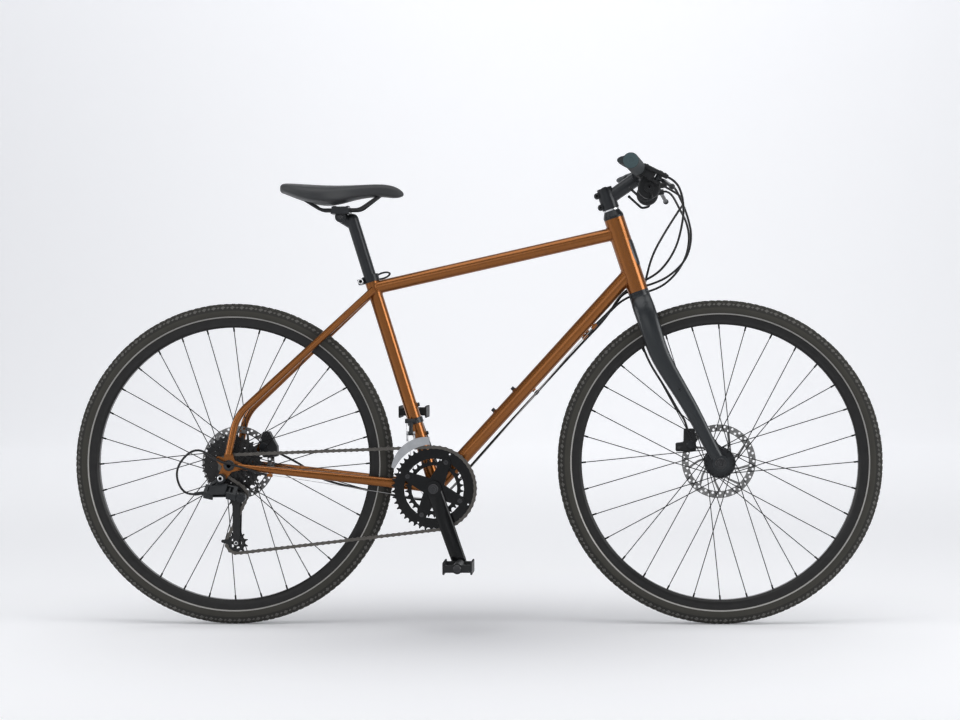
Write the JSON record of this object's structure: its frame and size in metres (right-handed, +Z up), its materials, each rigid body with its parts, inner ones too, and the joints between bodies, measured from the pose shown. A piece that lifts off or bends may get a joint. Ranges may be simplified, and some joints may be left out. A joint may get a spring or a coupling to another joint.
{
  "type": "hybrid bicycle",
  "caption": "Hybrid bicycle with a diamond frame, disc brakes, a flat bar, a double crankset and derailleur gears.",
  "frame": {"origin": "on the ground midway between the two wheel axles, in the plane of the wheels", "axes": "+X forward along the wheelbase, +Y to the rider's left along the axles, +Z up"},
  "size_m": [1.7507, 0.6276, 0.9935],
  "materials": {
    "copper_paint": "gloss metallic",
    "fork_paint": "satin",
    "black_alloy": "anodised satin",
    "dark_steel": "satin",
    "steel": "brushed",
    "black_plastic": "matt",
    "grip_rubber": "matt",
    "saddle_skin": "matt",
    "tyre": "matt"
  },
  "bodies": {
    "frame": {"head_tube": "copper_paint", "top_tube": "copper_paint", "seat_tube": "copper_paint", "down_tube": "copper_paint", "bottom_bracket_shell": "copper_paint", "rear_dropouts": "copper_paint", "rear_stays": "copper_paint", "bearing_cups": "black_alloy", "seat_collar": "black_alloy", "rear_axle": "black_alloy", "rear_caliper": "black_alloy", "chain": "dark_steel", "front_derailleur_body": "black_alloy", "rd_knuckle": "black_alloy", "shift_housings": "black_plastic", "shift_wires": "steel", "rear_brake_hose": "black_plastic"},
    "seatpost": {"seatpost": "black_alloy", "saddle_clamp": "black_alloy", "saddle_base": "black_plastic", "saddle_cover": "saddle_skin"},
    "seat_lever": {"seat_collar_lever": "black_alloy"},
    "steering": {"fork": "fork_paint", "headset_spacers": "black_alloy", "stem": "black_alloy", "handlebar": "black_alloy", "grips": "grip_rubber", "brake_lever_bodies": "black_alloy", "shifter_pods": "black_plastic", "front_axle": "black_alloy", "front_caliper": "black_alloy", "front_brake_hose": "black_plastic"},
    "brake_lever_right": {"brake_lever_right": "black_alloy"},
    "brake_lever_left": {"brake_lever_left": "black_alloy"},
    "shift_lever_right": {"shift_lever_right": "black_plastic"},
    "shift_lever_left": {"shift_lever_left": "black_plastic"},
    "front_wheel": {"front_tyre": "tyre", "front_rim": "black_alloy", "front_spokes": "dark_steel", "front_hub": "black_alloy", "front_rotor": "steel"},
    "rear_wheel": {"rear_tyre": "tyre", "rear_rim": "black_alloy", "rear_spokes": "dark_steel", "rear_hub": "black_alloy", "rear_rotor": "steel"},
    "cassette": {"cassette": "dark_steel"},
    "crank": {"right_crank": "black_alloy", "left_crank": "black_alloy", "chainrings": "dark_steel"},
    "pedal_right": {"pedal_right": "black_alloy"},
    "pedal_left": {"pedal_left": "black_alloy"},
    "rd_outer_link": {"rd_outer_link": "black_alloy"},
    "rd_inner_link": {"rd_inner_link": "black_alloy"},
    "rd_p_knuckle": {"rd_p_knuckle": "black_alloy"},
    "rd_cage": {"rd_cage": "black_alloy"},
    "guide_pulley": {"guide_pulley": "black_plastic"},
    "tension_pulley": {"tension_pulley": "black_plastic"},
    "fd_link": {"fd_link": "black_alloy"},
    "fd_cage": {"fd_cage": "steel"}
  },
  "joints": [
    {"name": "steering_turn", "type": "hinge", "parent": "frame", "child": "steering", "pos_m": [0.3538, 0, 0.71873], "axis": [-0.309, 0, 0.9511], "range_deg": [-60, 60], "deforming": ["shift_housings", "rear_brake_hose"]},
    {"name": "front_wheel_spin", "type": "hinge", "parent": "steering", "child": "front_wheel", "pos_m": [0.5265, 0, 0.349], "axis": [0, 1, 0], "continuous": true},
    {"name": "rear_wheel_spin", "type": "hinge", "parent": "frame", "child": "rear_wheel", "pos_m": [-0.5265, 0, 0.349], "axis": [0, 1, 0], "continuous": true},
    {"name": "crank_spin", "type": "hinge", "parent": "frame", "child": "crank", "pos_m": [-0.08697, 0, 0.297], "axis": [0, 1, 0], "continuous": true, "deforming": ["chain"]},
    {"name": "cassette_spin", "type": "hinge", "parent": "frame", "child": "cassette", "pos_m": [-0.5265, 0, 0.349], "axis": [0, 1, 0], "continuous": true},
    {"name": "pedal_right_spin", "type": "hinge", "parent": "crank", "child": "pedal_right", "pos_m": [-0.02938, 0, 0.13705], "axis": [0, 1, 0], "continuous": true},
    {"name": "pedal_left_spin", "type": "hinge", "parent": "crank", "child": "pedal_left", "pos_m": [-0.14455, 0, 0.45695], "axis": [0, 1, 0], "continuous": true},
    {"name": "rear_shift", "type": "hinge", "parent": "frame", "child": "rd_outer_link", "pos_m": [-0.5635, -0.079, 0.295], "axis": [0.1698, 0.6428, 0.747], "range_deg": [0, 56], "stiffness_Nm_per_rad": 0.6, "springref_deg": -28.65, "deforming": ["shift_housings", "chain"]},
    {"name": "rear_shift_inner_link", "type": "hinge", "parent": "frame", "child": "rd_inner_link", "pos_m": [-0.56535, -0.06904, 0.28685], "axis": [0.1698, 0.6428, 0.747], "range_deg": [0, 56], "deforming": ["shift_housings", "chain"]},
    {"name": "rear_shift_knuckle", "type": "hinge", "parent": "rd_outer_link", "child": "rd_p_knuckle", "pos_m": [-0.52329, -0.09105, 0.29623], "axis": [0.1698, 0.6428, 0.747], "range_deg": [-56, 0], "deforming": ["shift_housings", "chain"]},
    {"name": "cage_swing", "type": "hinge", "parent": "rd_p_knuckle", "child": "rd_cage", "pos_m": [-0.5, -0.075, 0.281], "axis": [0, -1, 0], "range_deg": [-15, 45], "stiffness_Nm_per_rad": 1.2, "deforming": ["chain"]},
    {"name": "guide_pulley_spin", "type": "hinge", "parent": "rd_cage", "child": "guide_pulley", "pos_m": [-0.51199, -0.0625, 0.28487], "axis": [0, 1, 0], "continuous": true},
    {"name": "tension_pulley_spin", "type": "hinge", "parent": "rd_cage", "child": "tension_pulley", "pos_m": [-0.51303, -0.0625, 0.18185], "axis": [0, 1, 0], "continuous": true},
    {"name": "front_shift", "type": "hinge", "parent": "frame", "child": "fd_link", "pos_m": [-0.13682, -0.034, 0.44145], "axis": [1, 0, 0], "range_deg": [0, 18], "stiffness_Nm_per_rad": 0.6, "springref_deg": -28.65, "deforming": ["chain"]},
    {"name": "front_shift_cage", "type": "hinge", "parent": "fd_link", "child": "fd_cage", "pos_m": [-0.13682, -0.043, 0.41545], "axis": [1, 0, 0], "range_deg": [-18, 0]},
    {"name": "brake_lever_right_pull", "type": "hinge", "parent": "steering", "child": "brake_lever_right", "pos_m": [0.39446, -0.152, 0.95116], "axis": [-0.454, 0, -0.891], "range_deg": [0, 22], "stiffness_Nm_per_rad": 1.5},
    {"name": "brake_lever_left_pull", "type": "hinge", "parent": "steering", "child": "brake_lever_left", "pos_m": [0.39446, 0.152, 0.95116], "axis": [0.454, 0, 0.891], "range_deg": [0, 22], "stiffness_Nm_per_rad": 1.5},
    {"name": "shift_lever_right_push", "type": "hinge", "parent": "steering", "child": "shift_lever_right", "pos_m": [0.37663, -0.122, 0.93407], "axis": [0, -1, 0], "range_deg": [0, 24], "stiffness_Nm_per_rad": 0.5},
    {"name": "shift_lever_left_push", "type": "hinge", "parent": "steering", "child": "shift_lever_left", "pos_m": [0.37663, 0.122, 0.93407], "axis": [0, -1, 0], "range_deg": [0, 24], "stiffness_Nm_per_rad": 0.5},
    {"name": "seatpost_slide", "type": "slide", "parent": "frame", "child": "seatpost", "axis": [-0.2924, 0, 0.9563], "range_m": [-0.09, 0.08]},
    {"name": "seat_lever_open", "type": "hinge", "parent": "frame", "child": "seat_lever", "pos_m": [-0.24587, 0.0225, 0.74355], "axis": [-0.2924, 0, 0.9563], "range_deg": [0, 140]}
  ],
  "couplings": [
    {"joint": "cassette_spin", "follows": "crank_spin", "ratio": 4},
    {"joint": "tension_pulley_spin", "follows": "crank_spin", "ratio": 4},
    {"joint": "guide_pulley_spin", "follows": "crank_spin", "ratio": -4},
    {"joint": "rear_shift_inner_link", "follows": "rear_shift", "ratio": 1},
    {"joint": "rear_shift_knuckle", "follows": "rear_shift", "ratio": -1},
    {"joint": "front_shift_cage", "follows": "front_shift", "ratio": -1}
  ]
}
